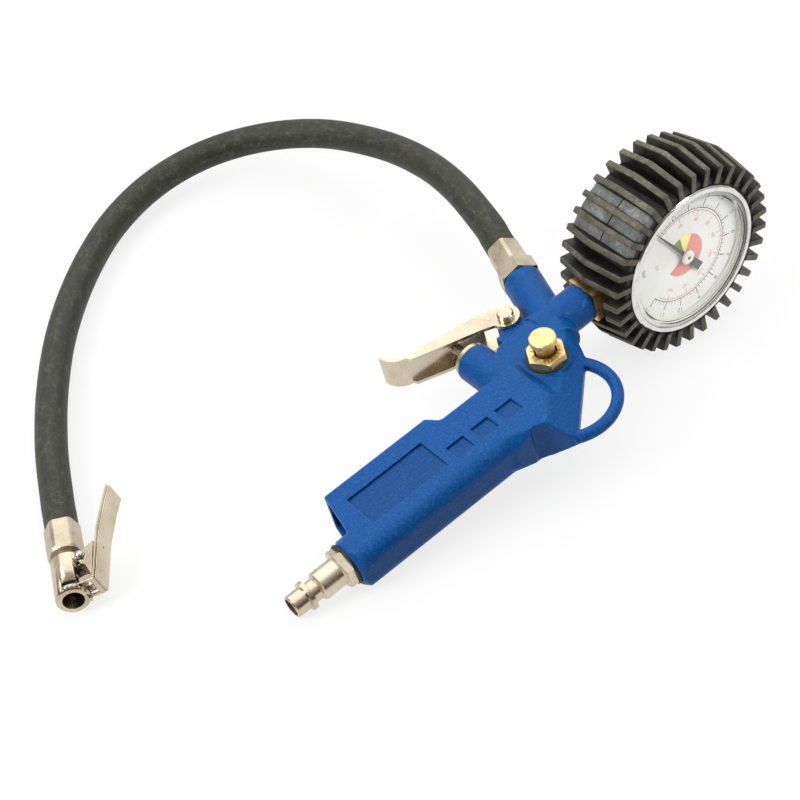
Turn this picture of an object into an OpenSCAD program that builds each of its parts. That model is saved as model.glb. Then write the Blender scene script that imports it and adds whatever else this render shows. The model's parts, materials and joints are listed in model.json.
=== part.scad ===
// Tyre inflator gun: a moulded pistol body with a trigger valve, a bleed button, a dial gauge in a
// ribbed rubber boot, a rubber hose and a clip-on chuck. Millimetres.
// The gun is drawn in its own plane: X runs from the inlet plug to the gauge, Y from the back of
// the handle to the trigger lever and Z out of the side face, with the middle of the gauge's front
// at the origin. laid() then puts the gun on the table, on the gauge boot and the butt of the handle.

/* [Handle] */
// Distance from the gauge axis back to the butt face around the inlet
butt_x = 186.3; // [180:0.1:192]
// Thickness of the handle from side to side
grip_w = 19.2; // [18:0.2:22]
// Distance of the handle's back edge behind the gauge face
back_y = 22.4; // [21:0.1:24]
// Distance of the handle's front edge ahead of the gauge face
front_y = 12.6; // [12:0.1:14]
// Distance ahead of the gauge face of the thinner neck below the trigger
neck_y = 7; // [6:0.1:8]
// Rounding of the handle's two back edges
back_round = 6; // [5:0.5:7]
// Height of the inlet axis, measured ahead of the gauge face
inlet_y = -11.8; // [-13:0.1:-11]
// Radius of the round front of the column that carries the inlet thread
column_r = 9.9; // [9.7:0.1:10.4]

/* [Bosses] */
// Radius of the valve, hose and gauge bosses
boss_r = 8; // [7.5:0.1:9]
// Place of the trigger valve's axis
valve_x = -91.5; // [-93:0.5:-90]
// End of the valve boss
valve_end = 28; // [26:0.5:29]
// Direction of the hose boss, turned from X towards the trigger
hose_angle = 71.2; // [70:0.1:75]
// Length of the hose boss from its root on the gauge face line
hose_boss_l = 48.2; // [46:0.1:50]
// Place of the gauge stem's axis, ahead of the gauge face
stem_y = 18; // [17:0.5:19]
// End of the gauge boss
gauge_boss_x = -42.3; // [-44:0.1:-41]

/* [Trigger lever] */
// Place of the lever's pin
pivot_x = -71.2; // [-72:0.1:-70]
// Height of the lever's pin ahead of the gauge face
pivot_y = 29.6; // [28:0.1:31]
// Angle of the resting lever from the handle's direction
lever_angle = 11; // [10:0.5:13]
// Outer width of the folded lever
lever_w = 14.4; // [13:0.1:16]
// Thickness of the lever's sheet
lever_t = 1.5; // [1:0.1:1.8]
// Radius of the lever's ears
ear_r = 5.9; // [5.5:0.1:6.2]
// Length of the lever from its pin to the start of the curled tip
lever_l = 41.6; // [40:0.1:44]

/* [Bleed button] */
// Place of the bleed button
bleed_x = -75.7; // [-77:0.1:-75]
// Height of the bleed button, measured ahead of the gauge face
bleed_y = 0; // [-1:0.1:1]
// Top of the round pad under the bleed nut
pad_z = 8.3; // [8:0.1:9]
// Width of the bleed nut across its flats
nut_af = 14; // [13:0.5:15]
// Height of the top of the button above the gun's middle plane
knob_z = 20.3; // [19:0.1:22]

/* [Gauge] */
// Radius of the gauge case
case_r = 31.5; // [31:0.1:32]
// Depth of the gauge case from the bezel's front to its back
case_depth = 31; // [30:0.5:32]
// Radius of the dial plate
dial_r = 29.5; // [28:0.5:30]
// Width across the flats of the square on the gauge stem
stem_square = 14; // [13:0.5:15]

/* [Boot] */
// Number of ribs round the boot
ribs = 34; // [30:2:36]
// Thickness of a rib
rib_t = 2.7; // [2.2:0.1:3]
// Radius of the ribs at the front and back edges
rib_end_r = 40.3; // [39:0.1:41]
// Radius of the ribs at their ridge, half way back
rib_ridge_r = 43; // [42:0.1:44]
// Radius of the boot's wall between the ribs
boot_wall_r = 34.4; // [34:0.1:36]
// Depth of the boot from front to back
boot_depth = 33; // [32:0.5:34]

/* [Inlet plug] */
// Radius of the plug's tip
tip_r = 4.6; // [4.4:0.1:4.8]
// Radius of the plug's bore
plug_bore_r = 3.6; // [3:0.1:3.8]
// Width across the flats of the plug's hexagon
plug_af = 14; // [13:0.5:15]

/* [Hose] */
// Outer diameter of the hose
hose_d = 13; // [12:0.5:14]
// Length of the crimped fittings from their seat to the hose
ferrule_l = 20; // [19:0.5:22]
// Width across the flats of the crimped sleeves
sleeve_af = 12.8; // [12.5:0.1:13.5]

/* [Chuck] */
// Outer radius of the chuck's body
chuck_r = 6.5; // [6:0.1:7]
// Radius of the chuck's mouth, which takes the threaded valve stem of a tyre
mouth_r = 4.15; // [4:0.05:4.4]
// Length of the chuck's body
chuck_l = 20.6; // [20:0.1:22]
// Roll of the chuck about its own axis as it lies on the table
chuck_roll = 22; // [15:1:30]
// Width of the chuck's thumb lever
thumb_w = 10; // [10:0.5:12]

/* [Hidden] */
$fn = 48;

blue = "royalblue";
nickel = "lightgray";
brass = "goldenrod";
rubber = "darkolivegreen";
steel = "silver";

fit = 0.05;
grip_half = grip_w / 2;

// The collar of the inlet plug and one rib of the boot touch the table.
collar_r = 5.95;
collar_end = 19.9;
rest_x = butt_x + collar_end;
lay_tilt = asin(rib_ridge_r / norm([rest_x, collar_r])) - atan(collar_r / rest_x);
origin_x = 83.42;
origin_y = 14.66;

module laid() {
    translate([origin_x, -origin_y, rib_ridge_r])
        rotate([0, -lay_tilt, 0])
            children();
}

// ---- small shapes -------------------------------------------------------------------------

module rod_x(r, from, to) {
    translate([from, 0, 0]) rotate([0, 90, 0]) cylinder(r = r, h = to - from);
}

module rod_y(r, from, to) {
    translate([0, from, 0]) rotate([-90, 0, 0]) cylinder(r = r, h = to - from);
}

module rod_z(r, from, to) {
    translate([0, 0, from]) cylinder(r = r, h = to - from);
}

// A boss along Z with a chamfered rim
module boss(r, from, to) {
    edge = 0.7;
    rod_z(r, from, to - edge);
    translate([0, 0, to - edge]) cylinder(r1 = r, r2 = r - edge, h = edge);
}

// A hexagonal prism along Z, its corners turned down at both ends
module hex_nut(af, from, to) {
    corner = af / 2 / cos(30);
    turn = 0.8;
    intersection() {
        translate([0, 0, from]) cylinder(r = corner, h = to - from, $fn = 6);
        union() {
            translate([0, 0, from]) cylinder(r1 = corner - turn, r2 = corner, h = turn / 2);
            rod_z(corner, from + turn / 2, to - turn / 2);
            translate([0, 0, to - turn / 2]) cylinder(r1 = corner, r2 = corner - turn, h = turn / 2);
        }
    }
}

// A ring of round section about Z
module ring(mean_r, wire_r) {
    rotate_extrude() translate([mean_r, 0]) circle(wire_r);
}

// Points of a circle's arc, for outlines
function arc(c, r, from, to, steps) = [for (i = [0 : steps])
    let (a = from + (to - from) * i / steps) [c[0] + r * cos(a), c[1] + r * sin(a)]];

// ---- swept tubes ----------------------------------------------------------------------------

function unit(v) = v / norm(v);

// One point on a smooth curve through the points p, between p[i] and p[i + 1]
function curve_at(p, i, t) =
    let (a = i > 0 ? p[i - 1] : 2 * p[0] - p[1])
    let (d = i + 2 < len(p) ? p[i + 2] : 2 * p[i + 1] - p[i])
    0.5 * (2 * p[i] + (p[i + 1] - a) * t + (2 * a - 5 * p[i] + 4 * p[i + 1] - d) * t * t
        + (3 * p[i] - a - 3 * p[i + 1] + d) * t * t * t);

// Stations along the curve, with the same number in each stretch between two points
function stations(p, steps) = concat(
    [for (i = [0 : len(p) - 2]) for (j = [0 : steps - 1]) curve_at(p, i, j / steps)],
    [p[len(p) - 1]]);

function heading(s, i) = unit(s[min(i + 1, len(s) - 1)] - s[max(i - 1, 0)]);

// Rings of corners round each station; the tube keeps one side down
function tube_points(s, r, sides) = [for (i = [0 : len(s) - 1])
    let (ahead = heading(s, i))
    let (side = unit(cross(ahead, [0, 0, 1])))
    let (up = cross(side, ahead))
    for (k = [0 : sides - 1])
        let (a = 360 * k / sides)
        s[i] + r * (cos(a) * side + sin(a) * up)];

function tube_faces(rings, sides) = concat(
    [[for (k = [0 : sides - 1]) k]],
    [for (i = [0 : rings - 2]) for (k = [0 : sides - 1]) for (half = [0, 1])
        let (n = (k + 1) % sides)
        half == 0
            ? [i * sides + k, (i + 1) * sides + k, i * sides + n]
            : [i * sides + n, (i + 1) * sides + k, (i + 1) * sides + n]],
    [[for (k = [0 : sides - 1]) rings * sides - 1 - k]]);

module tube(s, r, sides) {
    polyhedron(points = tube_points(s, r, sides), faces = tube_faces(len(s), sides));
}

// Stations of a coil about Z: a closing turn at each end, open turns between
spring_steps = 10;
function coil(mean_r, length, turns, wire_r) = [for (i = [0 : turns * spring_steps])
    let (a = 360 * i / spring_steps)
    [mean_r * cos(a), mean_r * sin(a), wire_r + (length - 2 * wire_r) * i / (turns * spring_steps)]];

// Least gap between turns of a coil, measured on its stations
function coil_gap(s, wire_r) = min([for (i = [0 : len(s) - 1 - spring_steps])
    norm(s[i + spring_steps] - s[i])]) - 2 * wire_r;

module coil_spring(mean_r, length, turns, wire_r) {
    s = coil(mean_r, length, turns, wire_r);
    echo("least gap between the spring's turns", coil_gap(s, wire_r));
    tube(s, wire_r, 6);
}

// ---- body -----------------------------------------------------------------------------------

// Cross-section of the handle, seen along X: Y across the page and Z up it
module grip_section() {
    front_round = 1.5;
    depth = back_y + front_y;
    translate([-back_y, 0]) {
        translate([back_round, -grip_half]) square([depth - back_round - front_round, grip_w]);
        translate([0, -grip_half + back_round]) square([depth / 2, grip_w - 2 * back_round]);
        translate([depth / 2, -grip_half + front_round])
            square([depth / 2, grip_w - 2 * front_round]);
        for (side = [-1, 1]) {
            translate([back_round, side * (grip_half - back_round)]) circle(back_round);
            translate([depth - front_round, side * (grip_half - front_round)])
                circle(front_round);
        }
    }
}

module grip_prism(from, to) {
    translate([from, 0, 0]) rotate([90, 0, 90]) linear_extrude(to - from) grip_section();
}

// Side outline of the handle, with a step down to the neck under the trigger
step_x = -128.4;
step_l = 6;
grip_outline = concat(
    [[-butt_x - 1, front_y + 1], [-butt_x - 1, -back_y - 1], [-98, -back_y - 1], [-98, neck_y]],
    [for (i = [0 : 6]) [step_x + step_l * (1 - i / 6),
        neck_y + (front_y + 0.2 - neck_y) * (1 - cos(180 * i / 6)) / 2]],
    [[step_x - 0.5, front_y + 1]]);

module grip() {
    intersection() {
        grip_prism(-butt_x, -98);
        translate([0, 0, -grip_half]) linear_extrude(grip_w) polygon(grip_outline);
    }
}

// The back half of the handle runs on past the slanted butt as a column round the inlet
column_y = -13.2;
module inlet_column() {
    translate([0, column_y, 0]) rod_x(column_r, -butt_x - 3, -137);
    translate([-butt_x - 3, -back_y - 2, -grip_w]) cube([butt_x - 134, back_y + 2 + column_y, 2 * grip_w]);
}

// Slanted end of the handle's front half
butt_lean = 0.211;
butt_top_x = -175.6;
module butt_slant() {
    low = -20;
    translate([0, 0, -grip_w]) linear_extrude(2 * grip_w)
        polygon([[-butt_x - 2, low], [butt_top_x - butt_lean * (front_y + 1 - low), low],
            [butt_top_x, front_y + 1], [-butt_x - 2, front_y + 1]]);
}

// Chamfer round the end of the column
module butt_chamfer() {
    rim_r = 8.4;
    translate([-butt_x, column_y, 0]) rotate([0, 90, 0]) difference() {
        translate([0, 0, -1]) cylinder(r = 14, h = 3.8);
        translate([0, 0, -1.5]) cylinder(r1 = rim_r - 1.5, r2 = rim_r + 3, h = 4.5);
    }
}

// Hollow in the front half of the butt
module butt_pocket() {
    wall = 2.2;
    low = -15;
    translate([-butt_x - 1, low, -grip_half + wall])
        cube([butt_x + 1 - 142, front_y - wall - low, grip_w - 2 * wall]);
}

// Shallow recesses in the side faces, deepest along their front edges
module side_recess(x, y, length, height) {
    depth = 0.8;
    least = 0.22;
    translate([x, y, grip_half - depth])
        rotate([-atan((depth - least) / height), 0, 0])
            translate([0, -height, 0])
                cube([length, height, 3]);
}

module side_recesses() {
    side_recess(-171, 4, 35.5, 16);
    for (x = [-130.8, -118.8, -107]) side_recess(x, -5.6, 8, 7);
}

// Outline of the head in the gun's plane, with the flare behind the hand
edge_t = 2.1;
flare = [-92.1, -33.8];
flare_foot = [-98.1, -24.6];
head_outline = concat(
    [[-115, neck_y], [-95.5, neck_y], [-92, 14], [-84, 20], [-81, 20.5], [-67, 21.5], [-55, 14],
        [-57, 7.1], [-62.7, -5.7], flare],
    [for (i = [0 : 4]) flare_foot + [-5.9 * i / 4, (-back_y - flare_foot[1]) * sin(90 * i / 4)]],
    [[-105, -back_y - 1], [-115, -back_y - 1]]);

// The head narrows from the handle's full width to a thin edge along its back
module head() {
    intersection() {
        hull() {
            grip_prism(-114, -110);
            translate([0, 0, -grip_half])
                linear_extrude(grip_w)
                    polygon([[-110, neck_y], [-104, -back_y], flare_foot, [-70.4, 1.9], [-62, 10],
                        [-66, 22], [-84, 22]]);
            translate([0, 0, -edge_t])
                linear_extrude(2 * edge_t)
                    polygon([flare, [-62.7, -5.7], [-57, 7.1], [-54, 14]]);
        }
        translate([0, 0, -grip_half - 1]) linear_extrude(grip_w + 2) polygon(head_outline);
    }
}

// The side faces step down to a plateau round the bleed button, and beside the valve boss
plateau_z = 7.2;
module plateau_cut() {
    translate([0, 30, 0]) rotate([90, 0, 0]) linear_extrude(70)
        polygon([[-88, grip_half], [-84.5, plateau_z], [-40, plateau_z], [-40, grip_half + 2],
            [-88, grip_half + 2]]);
    translate([-100, neck_y, plateau_z]) cube([17, 20, 5]);
}

// Lug between the lever's ears
lug_half = lever_w / 2 - lever_t - 0.35;
module lever_lug() {
    hull() {
        translate([pivot_x, pivot_y, 0]) rod_z(4.4, -lug_half, lug_half);
        translate([-71, 17, 0]) rod_z(7, -lug_half, lug_half);
    }
}

module hanging_loop() {
    translate([-81.3, -15.8, 0])
        rotate([0, 0, -124])
            rotate_extrude(angle = 160)
                translate([19, 0]) circle(2.5);
}

// Frames of the hose boss, with Z along the way the hose leaves, and of the valve
hose_root_x = -65.8;
module at_hose() {
    translate([hose_root_x, 0, 0]) rotate([0, 0, hose_angle]) rotate([0, 90, 0]) children();
}

module at_valve() {
    translate([valve_x, 0, 0]) rotate([-90, 0, 0]) children();
}

module at_bleed() {
    translate([bleed_x, bleed_y, 0]) children();
}

module at_stem() {
    translate([0, stem_y, 0]) children();
}

thread_r = 5;
inlet_thread_r = 6.4;
chamber_r = 6.5;
chamber_bottom = -17;
bleed_bore_r = 3.2;
bleed_bottom = -5;

module air_ways() {
    translate([0, inlet_y, 0]) {
        rod_x(inlet_thread_r + fit, -butt_x - 1, -172);
        rod_x(3, -173, valve_x);
    }
    at_valve() rod_z(chamber_r, chamber_bottom, valve_end + 1);
    at_stem() {
        rod_x(2.5, valve_x, -54);
        rod_x(thread_r + fit, -55, gauge_boss_x + 1);
    }
    at_hose() {
        rod_z(thread_r + fit, 34, hose_boss_l + 1);
        rod_z(3, stem_y, 35);
    }
    at_bleed() {
        rod_z(thread_r + fit, 2, pad_z + 2);
        rod_z(bleed_bore_r, bleed_bottom, 3);
        translate([0, 0, -3]) rod_y(1.5, 0, stem_y - bleed_y);
    }
}

module body() {
    color(blue) laid() difference() {
        union() {
            difference() {
                grip();
                difference() {
                    union() {
                        butt_slant();
                        butt_pocket();
                    }
                    inlet_column();
                }
                butt_chamfer();
            }
            difference() {
                head();
                plateau_cut();
                mirror([0, 0, 1]) plateau_cut();
            }
            lever_lug();
            hanging_loop();
            at_valve() boss(boss_r, -8, valve_end);
            at_hose() boss(boss_r, 8, hose_boss_l);
            at_stem() translate([-66, 0, 0]) rotate([0, 90, 0]) boss(boss_r + 0.25, 0, 66 + gauge_boss_x);
            at_bleed() boss(9, 0, pad_z);
        }
        air_ways();
        translate([pivot_x, pivot_y, 0]) rod_z(2, -lug_half - 1, lug_half + 1);
        side_recesses();
        mirror([0, 0, 1]) side_recesses();
    }
}

// ---- inlet plug -----------------------------------------------------------------------------

// Z runs out of the butt along the plug
module at_inlet() {
    translate([-butt_x, inlet_y, 0]) rotate([0, -90, 0]) children();
}

washer_t = 0.8;
plug_l = 26.2;
module inlet_plug() {
    hex_end = washer_t + 3.4;
    color(nickel) laid() at_inlet() difference() {
        union() {
            rod_z(inlet_thread_r, -13, washer_t + 0.5);
            hex_nut(plug_af, washer_t, hex_end);
            rotate_extrude() polygon([[0, 3.5], [6.4, 3.5], [6.4, hex_end], [5.75, hex_end + 0.5],
                [5.75, 13.6], [5.2, 14.1], [4.3, 14.8], [4.3, 17.6], [collar_r, 18.2],
                [collar_r, collar_end], [tip_r, 20.4], [tip_r, plug_l - 0.5], [tip_r - 0.4, plug_l],
                [0, plug_l]]);
        }
        rod_z(plug_bore_r, -14, plug_l + 1);
    }
}

module plug_washer() {
    color("dimgray") laid() at_inlet() difference() {
        rod_z(8.5, 0, washer_t);
        rod_z(inlet_thread_r + 0.1, -1, washer_t + 1);
    }
}

// ---- trigger lever --------------------------------------------------------------------------

// X runs along the resting lever and Y towards the handle
module at_lever() {
    translate([pivot_x, pivot_y, 0]) rotate([0, 0, 180 - lever_angle]) children();
}

curl_r = 7.1;
web_y = -7.9;
module lever_wall() {
    translate([0, -0.9]) circle(ear_r);
    polygon([[-1.2, -6.6], [3, -7.5], [8, web_y], [lever_l, web_y], [lever_l, web_y + lever_t],
        [40.6, -4.7], [28.3, -2.6], [11.6, -0.3], [6, 1], [4.6, 2.4]]);
}

// The sheet between the ears' walls, with the tip curled away from the handle
module lever_web() {
    turn = [lever_l, web_y - curl_r];
    polygon(concat([[8, web_y + lever_t], [8, web_y]], arc(turn, curl_r, 90, 8, 8),
        arc(turn, curl_r + lever_t, 8, 90, 8)));
}

module trigger_lever() {
    color(nickel) laid() at_lever() difference() {
        union() {
            for (side = [-1, 1])
                translate([0, 0, side * (lever_w - lever_t) / 2 - lever_t / 2])
                    linear_extrude(lever_t) lever_wall();
            translate([0, 0, -lever_w / 2]) linear_extrude(lever_w) lever_web();
        }
        rod_z(2 + fit, -lever_w, lever_w);
    }
}

module lever_pin() {
    ear = lever_w / 2 + 0.2;
    color(nickel) laid() translate([pivot_x, pivot_y, 0]) {
        rod_z(1.98, -ear - 1.6, ear + 0.1);
        rotate_extrude() polygon([[0, ear], [3.4, ear], [3.4, ear + 1.7], [2.8, ear + 2.3],
            [0, ear + 2.5]]);
    }
}

module pin_clip() {
    ear = lever_w / 2 + 0.2;
    color(steel) laid() translate([pivot_x, pivot_y, 0]) difference() {
        rod_z(3.3, -ear - 0.8, -ear);
        rod_z(2, -ear - 1, -ear + 1);
    }
}

// ---- trigger valve --------------------------------------------------------------------------

stem_r = 2.5;
spindle_r = 1.4;
seat_z = 4;
dome_reach = (pivot_x - valve_x) * sin(lever_angle) - web_y - lever_t - stem_r - 0.15;
stem_top = pivot_y + dome_reach / cos(lever_angle) + stem_r;
module valve_gland() {
    rim = 2.5;
    color(nickel) laid() at_valve() difference() {
        union() {
            rotate_extrude() polygon([[0, valve_end], [7.3, valve_end], [7.3, valve_end + 1.6],
                [6.4, valve_end + rim], [0, valve_end + rim]]);
            rod_z(chamber_r - fit, seat_z + 1, valve_end + 0.5);
            rod_z(4.6, seat_z, seat_z + 1.5);
        }
        rod_z(stem_r + fit, 20, valve_end + rim + 1);
        rod_z(3.4, seat_z - 1, 21);
        translate([0, 0, 24]) rotate_extrude() translate([2, -1.1]) square([2.2, 2.2]);
        translate([0, 0, 9.5]) rotate_extrude() translate([5.1, -1.1]) square([3, 2.2]);
        translate([0, 0, stem_y]) rotate_extrude() translate([5.2, -2.5]) square([3, 5]);
        for (turn = [0, 90]) translate([0, 0, stem_y]) rotate([0, 0, turn]) rod_x(1.5, -8, 8);
    }
}

module gland_ring() {
    color("black") laid() at_valve() translate([0, 0, 9.5]) ring(5.77, 0.65);
}

module stem_ring() {
    color("black") laid() at_valve() translate([0, 0, 24]) ring(3.35, 0.75);
}

// The stem has a domed top that the lever presses
module valve_stem() {
    color(steel) laid() at_valve() {
        translate([0, 0, stem_top - stem_r]) sphere(stem_r);
        rod_z(stem_r, 21.3, stem_top - stem_r);
        rod_z(spindle_r, -0.5, 21.4);
    }
}

module valve_poppet() {
    color(brass) laid() at_valve() difference() {
        union() {
            rod_z(5.2, -1, 1.4);
            rod_z(2.6, -2.6, -0.5);
        }
        rod_z(spindle_r + fit, -0.55, 3);
    }
}

module poppet_seal() {
    color("black") laid() at_valve() difference() {
        rod_z(5, 1.4, seat_z - 0.05);
        rod_z(spindle_r + fit, 1, 5);
    }
}

module valve_spring() {
    color(steel) laid() at_valve() translate([0, 0, chamber_bottom])
        coil_spring(4.2, -1 - chamber_bottom - 0.1, 7, 0.45);
}

// ---- bleed button ---------------------------------------------------------------------------

bleed_seat_z = 2;
nut_top = pad_z + 3.9;
bleed_stem_r = 2.6;
module bleed_nut() {
    color(brass) laid() at_bleed() difference() {
        union() {
            hex_nut(nut_af, pad_z, nut_top);
            rod_z(thread_r - fit, bleed_seat_z, pad_z + 1);
        }
        rod_z(3.9, pad_z + 0.5, nut_top + 1);
        rod_z(bleed_stem_r + fit, 4.8, pad_z + 1);
        rod_z(1.6, bleed_seat_z - 1, 5);
    }
}

// Button, stem and valve disc in one turned piece, with a flat on the stem that lets the air out
module bleed_knob() {
    color(brass) laid() at_bleed() difference() {
        rotate_extrude() polygon([[0, -1.2], [2.4, -1.2], [2.4, 0.5], [1.1, 0.5], [1.1, 7.6],
            [bleed_stem_r, 8.2], [bleed_stem_r, knob_z - 4], [5.2, knob_z - 3], [5.3, knob_z - 2.8],
            [5.3, knob_z - 0.9], [4.9, knob_z - 0.4], [2.5, knob_z - 0.1], [0, knob_z]]);
        translate([2, -3, 7]) cube([2, 6, knob_z - 12]);
    }
}

module bleed_seal() {
    color("black") laid() at_bleed() difference() {
        rod_z(2.6, 0.55, bleed_seat_z - 0.05);
        rod_z(1.15, 0, 3);
    }
}

module bleed_spring() {
    color(steel) laid() at_bleed() translate([0, 0, bleed_bottom])
        coil_spring(2, -1.25 - bleed_bottom, 3, 0.25);
}

// ---- gauge ----------------------------------------------------------------------------------

// Z runs into the gauge from the front of its bezel
module at_gauge() {
    rotate([-90, 0, 0]) children();
}

// Brass stem: threaded shank, square for a spanner, neck into the case and block for the tube
block_from = 18.6;
block_to = 26;
tube_r = 21.5;
module gauge_socket() {
    square_to = -33;
    color(brass) laid() difference() {
        union() {
            at_stem() {
                rod_x(thread_r, -53, gauge_boss_x + 0.5);
                translate([gauge_boss_x, -stem_square / 2, -stem_square / 2])
                    cube([square_to - gauge_boss_x, stem_square, stem_square]);
                rod_x(5, square_to - 1, -27.8);
            }
            translate([-28, block_from, -5]) cube([21, block_to - block_from, 10]);
        }
        at_stem() rod_x(1.5, -54, -29);
    }
}

module gauge_case() {
    wall = 1;
    color("dimgray") laid() difference() {
        at_gauge() difference() {
            rod_z(case_r, 2.5, case_depth);
            rod_z(case_r - wall, 0, case_depth - wall);
        }
        at_stem() rod_x(5.1, -case_r - 2, -20);
    }
}

module gauge_bezel() {
    color(nickel) laid() at_gauge() rotate_extrude()
        polygon([[case_r + 0.1, 5], [case_r + 0.6, 5], [case_r + 0.6, 0.6], [case_r, 0],
            [case_r - 1.6, 0], [case_r - 1.6, 0.8], [case_r + 0.1, 0.8]]);
}

// Domed window with a flat rim under the bezel's lip
module gauge_lens() {
    dome = arc([0, 151], 153, 270 - 10.7, 270, 6);
    inner = arc([0, 151], 151.8, 270, 270 - 10.4, 6);
    color([0.8, 0.9, 1, 0.35]) laid() at_gauge() rotate_extrude()
        polygon(concat([for (p = dome) [-p[0], p[1]]], [for (p = inner) [-p[0], p[1]]],
            [[28, 2.4], [case_r, 2.4], [case_r, 0.9], [case_r - 2.2, 0.9]]));
}

dial_z = 5.6;
module dial_plate() {
    color("white") laid() at_gauge() difference() {
        rod_z(dial_r, dial_z, dial_z + 0.7);
        rod_z(1.6, dial_z - 1, dial_z + 2);
    }
}

// Direction of the pointer at zero, in the gauge's own plane
zero_angle = -120;
pointer_z = 4;
module pointer() {
    color("black") laid() at_gauge() rotate([0, 0, zero_angle])
        translate([0, 0, pointer_z])
            linear_extrude(0.5)
                difference() {
                    union() {
                        polygon([[24, 0.15], [0, 0.9], [0, -0.9], [24, -0.15]]);
                        polygon([[0, 0.7], [-4, 0.8], [-4.5, 1.6], [-11, 1.9], [-11, -1.9],
                            [-4.5, -1.6], [-4, -0.8], [0, -0.7]]);
                        circle(2.2);
                    }
                    circle(0.75);
                }
}

module pointer_hub() {
    color("whitesmoke") laid() at_gauge() difference() {
        rotate_extrude() polygon([[0, 2.9], [2.6, 2.9], [3, 3.2], [3, pointer_z - 0.05],
            [0, pointer_z - 0.05]]);
        rod_z(0.75, 3.2, 5);
    }
}

// Train of the movement: a toothed sector on its own arbor drives the pinion under the pointer
tooth_module = 0.45;
pinion_teeth = 12;
sector_full_teeth = 84;
pinion_r = pinion_teeth * tooth_module / 2;
sector_r = sector_full_teeth * tooth_module / 2;
arbor_x = -(pinion_r + sector_r);
gear_z = 12;

// One tooth as a narrow trapezium standing on the root circle
module tooth(pitch_r) {
    root = pitch_r - 1.15 * tooth_module;
    tip = pitch_r + 0.85 * tooth_module;
    polygon([[root - 0.3, 0.42 * tooth_module], [pitch_r, 0.62 * tooth_module],
        [tip, 0.28 * tooth_module], [tip, -0.28 * tooth_module], [pitch_r, -0.62 * tooth_module],
        [root - 0.3, -0.42 * tooth_module]]);
}

module pinion_shaft() {
    step = 360 / pinion_teeth;
    color(brass) laid() at_gauge() {
        rod_z(0.7, 3.3, 18.4);
        translate([0, 0, gear_z - 0.4]) linear_extrude(2.2) {
            circle(pinion_r - 1.1 * tooth_module);
            for (i = [0 : pinion_teeth - 1]) rotate([0, 0, 180 + step / 2 + i * step]) tooth(pinion_r);
        }
    }
}

sector_turn = 270 * pinion_teeth / sector_full_teeth;
tail_l = 6;
link_z = 14;
module sector_gear() {
    step = 360 / sector_full_teeth;
    first = -2;
    last = ceil(sector_turn / step) + 2;
    root = sector_r - 1.1 * tooth_module;
    color(brass) laid() at_gauge() translate([arbor_x, 0, 0]) {
        rod_z(0.8, 9.2, 18.2);
        translate([0, 0, gear_z]) linear_extrude(1.2) difference() {
            union() {
                circle(2.2);
                rotate([0, 0, (first - 1) * step]) square([root, 3]);
                polygon(concat(arc([0, 0], root, (first - 1) * step, (last + 1) * step, 12),
                    arc([0, 0], root - 2.4, (last + 1) * step, (first - 1) * step, 12)));
                rotate([0, 0, (last + 1) * step - 8]) translate([0, -1.6]) square([root - 1, 3]);
                for (i = [first : last]) rotate([0, 0, i * step]) tooth(sector_r);
                translate([-1.3, 0]) square([2.6, tail_l]);
                translate([0, tail_l]) circle(1.6);
            }
        }
        translate([0, tail_l, 0]) rod_z(0.75, gear_z, link_z + 1.2);
    }
}

plate_from = 9.8;
plate_to = 17.4;
plate_t = 1.2;
module movement_plate() {
    difference() {
        translate([arbor_x - 6, -6]) square([5.5 - arbor_x + 6, 12]);
        circle(0.75);
        translate([arbor_x, 0]) circle(0.85);
    }
}

module movement_plates() {
    color(brass) laid() at_gauge() {
        translate([0, 0, plate_from - plate_t]) linear_extrude(plate_t) movement_plate();
        translate([0, 0, plate_to]) linear_extrude(plate_t) movement_plate();
        for (side = [-1, 1])
            translate([arbor_x - 4.6, side * 4.5, 0]) rod_z(1.2, plate_from - 0.5, plate_to + 0.5);
    }
}

// Flattened tube bent into three quarters of a circle, its open end soldered into the block
module bourdon_tube() {
    color("peru") laid() at_gauge() rotate([0, 0, -166]) {
        rotate_extrude(angle = 250)
            translate([tube_r, block_from + 3.7]) {
                square([1.6, 5], center = true);
                for (side = [-1, 1]) translate([0, side * 2.5]) circle(0.8);
            }
        rotate([0, 0, 250]) translate([tube_r, 0, 0]) rod_z(0.75, link_z - 0.6, block_from + 2);
    }
}

module tube_link() {
    tip = [tube_r * cos(84), tube_r * sin(84)];
    tail = [arbor_x, tail_l];
    slope = atan2(tip[1] - tail[1], tip[0] - tail[0]);
    color(brass) laid() at_gauge() difference() {
        union() {
            translate([tip[0], tip[1], link_z]) rod_z(1.5, 0, 0.6);
            translate([tail[0], tail[1], link_z]) rod_z(1.5, 0, 0.6);
            translate([tail[0], tail[1], link_z])
                rotate([0, 0, slope])
                    translate([0, -0.9, 0])
                        cube([norm(tip - tail), 1.8, 0.6]);
        }
        translate([tip[0], tip[1], 0]) rod_z(0.8, 10, 20);
        translate([tail[0], tail[1], 0]) rod_z(0.8, 10, 20);
    }
}

// ---- boot -----------------------------------------------------------------------------------

rib_step = 360 / ribs;
function rib_angle(i) = 90 + lay_tilt + i * rib_step;

module rib() {
    translate([0, rib_t / 2, 0])
        rotate([90, 0, 0])
            linear_extrude(rib_t)
                polygon([[boot_wall_r - 1, 0.3], [rib_end_r - 0.5, 0.3], [rib_end_r, 0.8],
                    [rib_ridge_r, boot_depth / 2], [rib_end_r, boot_depth - 0.5],
                    [rib_end_r - 0.5, boot_depth], [boot_wall_r - 1, boot_depth]]);
}

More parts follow.
